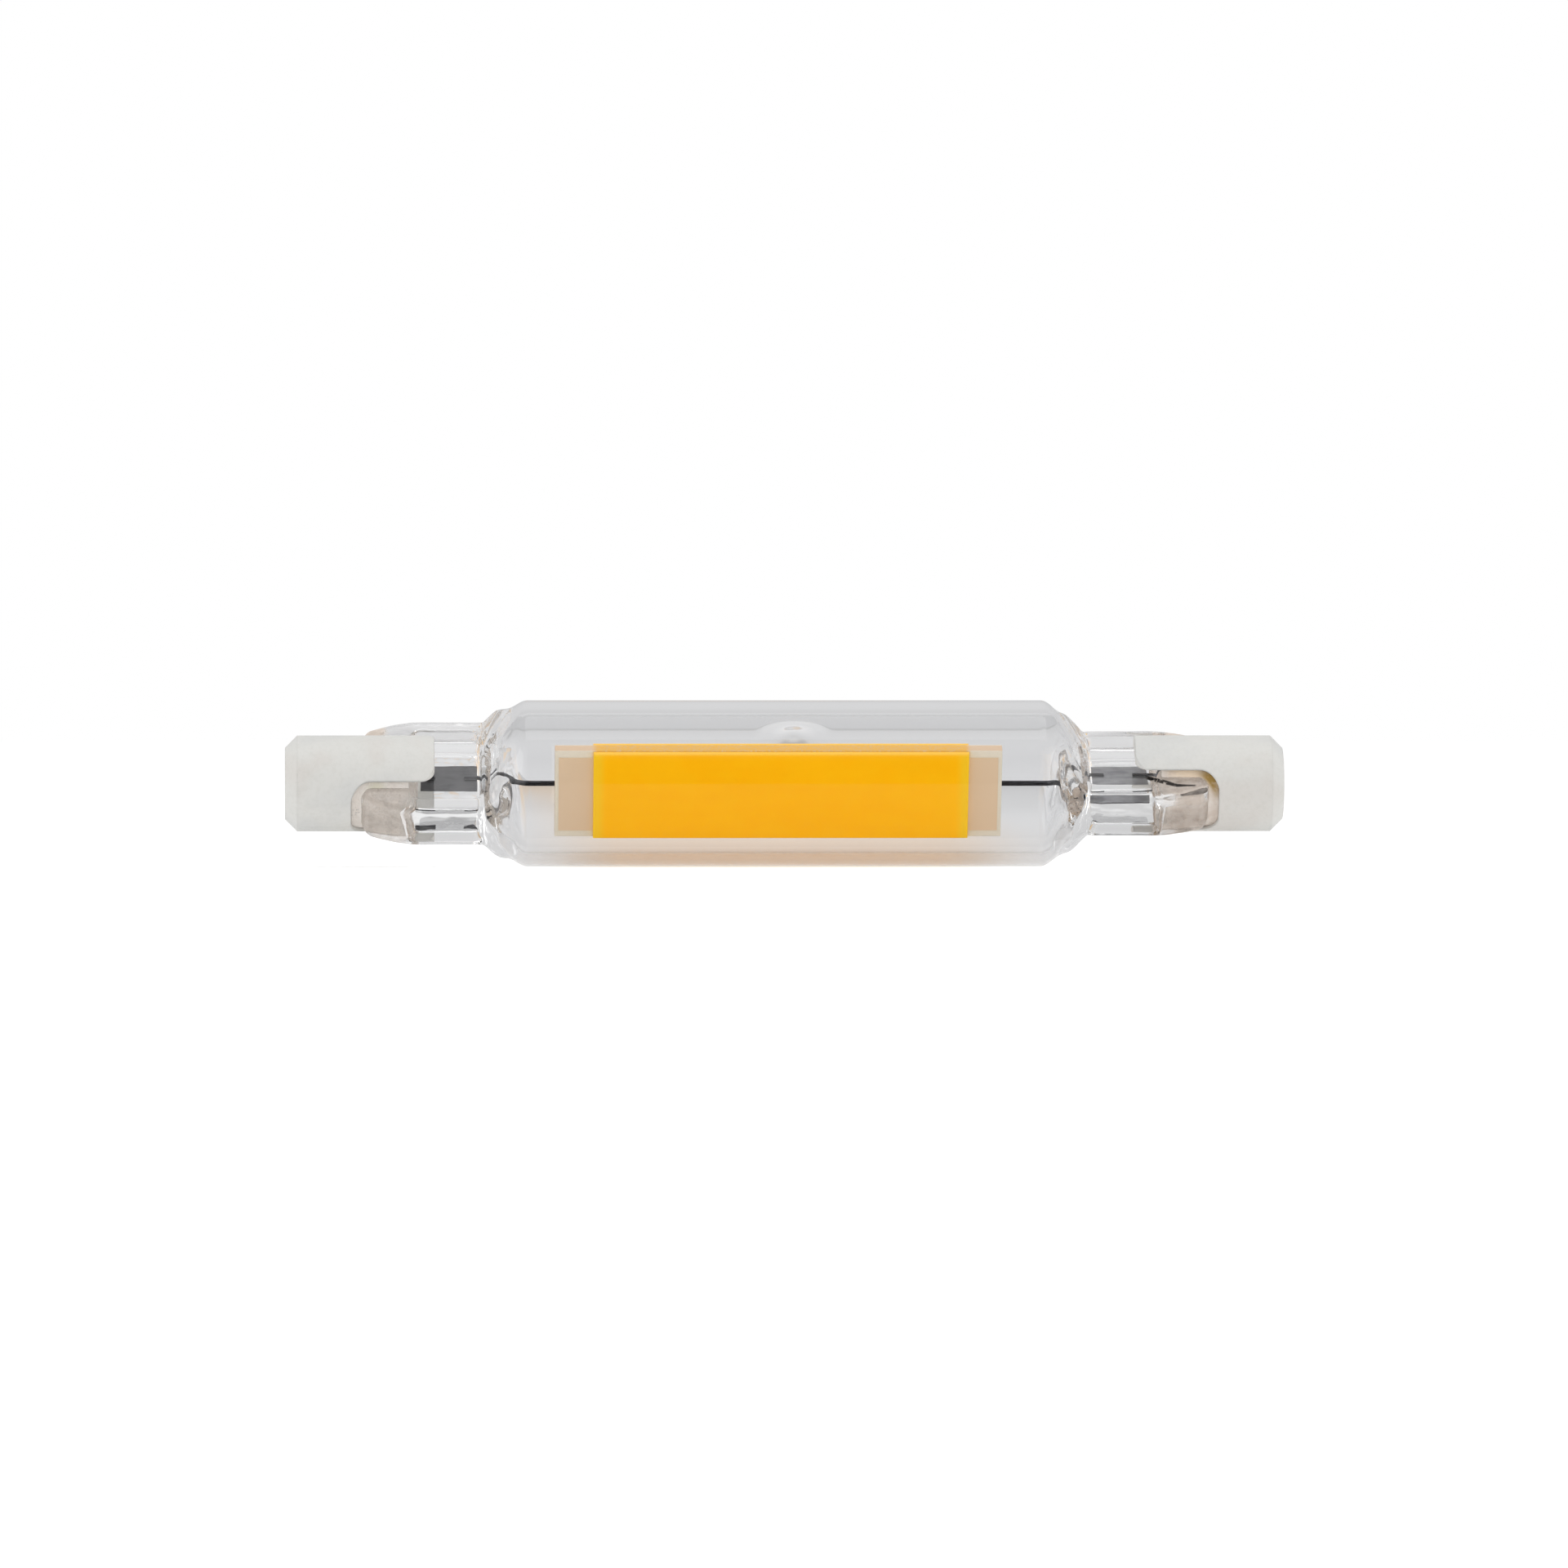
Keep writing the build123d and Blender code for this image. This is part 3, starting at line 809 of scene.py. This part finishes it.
far = times(tree, span(tree, across, inner, outer),
            span(tree, beddedLater, *clearLook["farFrom"]), clearLook["farShare"])
near = times(tree, span(tree, across, -inner, -outer),
             span(tree, bedded, *clearLook["nearFrom"]),
             span(tree, blot, 0.25, 0.6), clearLook["nearShare"])
tone = ramp(tree, blot, [(0.3, clearLook["smearDark"]), (0.65, clearLook["smear"])])
chalky = put(tree, "BsdfDiffuse", {"Color": tone})
surface = blendShaders(tree, calc(tree, "MAXIMUM", far, near), shader, chalky)

# the trail slopes down from the foil, then runs level and thins out towards the cap
course = calc(tree, "ADD", times(tree, spot["X"], clearLook["trailSlope"]),
              clearLook["trailHeight"])
course = calc(tree, "MAXIMUM", course, clearLook["trailLowest"])
beside = calc(tree, "ABSOLUTE", calc(tree, "SUBTRACT", spot["Z"], course))
width = times(tree, span(tree, spot["X"], *clearLook["trailThins"]), clearLook["trailWide"])
along = calc(tree, "ABSOLUTE", calc(tree, "SUBTRACT", spot["X"], clearLook["trailAlong"]))
trail = times(
    tree,
    span(tree, calc(tree, "SUBTRACT", beside, width), *clearLook["trailEdge"]),
    span(tree, along, *clearLook["trailReach"]),
    calc(tree, "LESS_THAN", spot["Y"], clearLook["trailFront"]),
    span(tree, grain(tree, where, clearLook["trailGaps"], 3.0), 0.34, 0.46),
)
burnt = put(tree, "BsdfDiffuse", {"Color": clearLook["trail"]})
surface = blendShaders(tree, trail, surface, burnt)

# light for the strip inside goes straight through the wall, and so does light that has
# turned often in the glass
path = put(tree, "LightPath").outputs
through = calc(tree, "MAXIMUM", path["Is Shadow Ray"], path["Is Diffuse Ray"])
for depth, most in (("Glossy Depth", "mostGlossy"), ("Ray Depth", "mostTurns")):
    often = calc(tree, "GREATER_THAN", path[depth], clearLook[most])
    through = calc(tree, "MAXIMUM", through, often)
surface = blendShaders(tree, through, surface, put(tree, "BsdfTransparent"))
connect(tree, tree.nodes["Material Output"].inputs["Surface"], surface.outputs[0])
glass.data.materials.append(material)
print("glass done")

# white floor under the lamp
stageLook = {
    "floor": -6.52,  # just below the tube
    "floorHalf": 2.5,
    "floorTone": (0.90, 0.90, 0.90),
    "floorThrough": (0.66, 0.66, 0.665),
    # painted light: warm light from the coat on the floor under the strip
    "floorCoatLight": (0.71, 0.61, 0.515),
    "coatLightHalf": (21.0, 12.0),
    "floorMirrored": (0.14, 0.14, 0.14),
    "mirroredFront": -4.0,
    "cameraLift": 0.25,
    "diffuseLift": 0.16,
}

reach = stageLook["floorHalf"]
corners = [(-reach, -reach, 0), (reach, -reach, 0), (reach, reach, 0), (-reach, reach, 0)]
floorMesh = bpy.data.meshes.new("studioFloor")
floorMesh.from_pydata(corners, [], [(0, 1, 2, 3)])
floor = bpy.data.objects.new("studioFloor", floorMesh)
floor.location.z = stageLook["floor"] * mm
bpy.context.scene.collection.objects.link(floor)

material = bpy.data.materials.new("studioFloor")
material.use_nodes = True
tree = material.node_tree
tree.nodes.clear()
path = put(tree, "LightPath").outputs
spot = put(tree, "SeparateXYZ", {"Vector": place(tree)}).outputs
# seen through the glass it is darker, and under the strip it has a painted pool of warm light
# from the coat
along = calc(tree, "ABSOLUTE", spot["X"])
warm = times(tree, span(tree, along, *stageLook["coatLightHalf"]),
             calc(tree, "LESS_THAN", path["Glossy Depth"], 1.5))
seenThrough = blendColours(tree, warm, stageLook["floorThrough"], stageLook["floorCoatLight"])
tone = blendColours(tree, calc(tree, "GREATER_THAN", path["Transmission Depth"], 0.5),
                    stageLook["floorTone"], seenThrough)
# a single mirror image of it, in the glass or in the coat, stays dim
inside = calc(tree, "GREATER_THAN", path["Transmission Depth"], 2.5)
inFront = calc(tree, "LESS_THAN", spot["Y"], stageLook["mirroredFront"])
mirrored = times(tree, calc(tree, "COMPARE", path["Glossy Depth"], 1.0),
                 calc(tree, "MAXIMUM", inside, inFront))
tone = blendColours(tree, mirrored, tone, stageLook["floorMirrored"])
glow = calc(tree, "ADD", times(tree, path["Is Camera Ray"], stageLook["cameraLift"]),
            times(tree, path["Is Diffuse Ray"], stageLook["diffuseLift"]))
plain = put(tree, "BsdfDiffuse", {"Color": tone})
lift = put(tree, "Emission", {"Color": grey(1), "Strength": glow})
total = put(tree, "AddShader", {0: plain.outputs[0], 1: lift.outputs[0]})
put(tree, "OutputMaterial", {"Surface": total.outputs[0]})
floorMesh.materials.append(material)

# white tent round the lamp: tones from straight below (0) to straight above (1)
tentLook = {
    # the pale sweep behind the lamp
    "behind": [
        (0.0, (0.66, 0.66, 0.66)), (0.50, (0.77, 0.77, 0.78)), (0.568, (0.62, 0.62, 0.625)),
        (0.574, (0.44, 0.44, 0.44)), (0.580, (0.56, 0.56, 0.57)), (0.64, (0.56, 0.56, 0.57)),
        (0.70, (0.60, 0.60, 0.61)), (0.97, (0.90, 0.90, 0.90)),
    ],
    # the dark room past its open front
    "before": [
        (0.0, (0.50, 0.50, 0.50)), (0.33, (0.08, 0.08, 0.08)), (0.42, (0.015, 0.015, 0.015)),
        (0.79, (0.015, 0.015, 0.015)), (0.90, (0.50, 0.50, 0.50)), (0.97, (0.92, 0.92, 0.92)),
    ],
    # what light finds after one wall of the glass has turned it round
    "turned": [
        (0.0, (0.63, 0.63, 0.63)), (0.64, (0.67, 0.67, 0.675)), (0.78, (0.66, 0.66, 0.665)),
        (0.86, (0.60, 0.60, 0.605)), (0.92, (0.66, 0.66, 0.66)), (0.97, (0.90, 0.90, 0.90)),
    ],
    "openFront": (-0.45, -0.75),
    "openSides": (0.5, 0.28),
    "softLight": 0.86,
}

world = bpy.data.worlds.new("whiteTent")
bpy.context.scene.world = world
world.use_nodes = True
tree = world.node_tree
tree.nodes.clear()
way = put(tree, "SeparateXYZ", {"Vector": put(tree, "TexCoord").outputs["Generated"]}).outputs
rise = put(tree, "MapRange", {"Value": way["Z"], "From Min": -1.0, "From Max": 1.0})
tones = {
    key: ramp(tree, rise.outputs["Result"], tentLook[key])
    for key in ("behind", "before", "turned")
}
path = put(tree, "LightPath").outputs
passes = path["Transmission Depth"]
once = times(tree, calc(tree, "GREATER_THAN", passes, 0.5), calc(tree, "LESS_THAN", passes, 2.5))
tone = blendColours(tree, once, tones["behind"], tones["turned"])
# the dark room shows in a single mirror image only
opening = times(
    tree,
    span(tree, way["Y"], *tentLook["openFront"]),
    span(tree, calc(tree, "ABSOLUTE", way["X"]), *tentLook["openSides"]),
    calc(tree, "COMPARE", path["Glossy Depth"], 1.0),
)
tone = blendColours(tree, opening, tone, tones["before"])
seen = calc(tree, "MAXIMUM", path["Is Glossy Ray"], path["Is Transmission Ray"])
soft = put(tree, "Background", {"Color": grey(1), "Strength": tentLook["softLight"]})
tent = put(tree, "Background", {"Color": tone, "Strength": 1.0})
white = put(tree, "Background", {"Color": grey(1), "Strength": 1.0})
sky = blendShaders(tree, seen, soft, tent)
sky = blendShaders(tree, path["Is Camera Ray"], sky, white)
put(tree, "OutputWorld", {"Surface": sky.outputs[0]})

# soft boxes above, in front and at both sides, all turned to the lamp
lampLook = {
    "topBox": {"at": (0.0, -0.05, 0.62), "size": (0.7, 0.5), "power": 1.05},
    "frontBox": {"at": (-0.25, -0.6, 0.35), "size": (0.4, 0.4), "power": 0.04},
    "sideBox.1": {"at": (-0.6, -0.15, 0.15), "size": (0.4, 0.4), "power": 0.5},
    "sideBox.3": {"at": (0.6, -0.15, 0.15), "size": (0.4, 0.4), "power": 0.5},
}

for name, look in lampLook.items():
    lamp = bpy.data.lights.new(name, "AREA")
    lamp.shape = "RECTANGLE"
    lamp.size, lamp.size_y = look["size"]
    lamp.energy = look["power"]
    holder = bpy.data.objects.new(name, lamp)
    holder.location = look["at"]
    holder.rotation_euler = (-Vector(look["at"])).to_track_quat("-Z", "Y").to_euler()
    holder.visible_transmission = False  # no white panes inside the glass
    bpy.context.scene.collection.objects.link(holder)

# camera almost level and far away
cameraLook = {
    "distance": 1.1,
    "azimuth": -2.0,
    "elevation": 0.4,
    "lens": 323.0,
    "aim": (0.0, 0.0, -0.00005),
}

cameraData = bpy.data.cameras.new("camera")
cameraData.sensor_width = 36
cameraData.lens = cameraLook["lens"]
cameraData.clip_start, cameraData.clip_end = 0.01, 20
camera = bpy.data.objects.new("camera", cameraData)
bpy.context.scene.collection.objects.link(camera)
turn, lift = math.radians(cameraLook["azimuth"]), math.radians(cameraLook["elevation"])
back = Vector((math.sin(turn) * math.cos(lift), -math.cos(turn) * math.cos(lift), math.sin(lift)))
camera.location = Vector(cameraLook["aim"]) + back * cameraLook["distance"]
camera.rotation_euler = back.to_track_quat("Z", "Y").to_euler()
bpy.context.scene.camera = camera
bpy.context.scene.view_settings.view_transform = "Standard"
print("stage done")
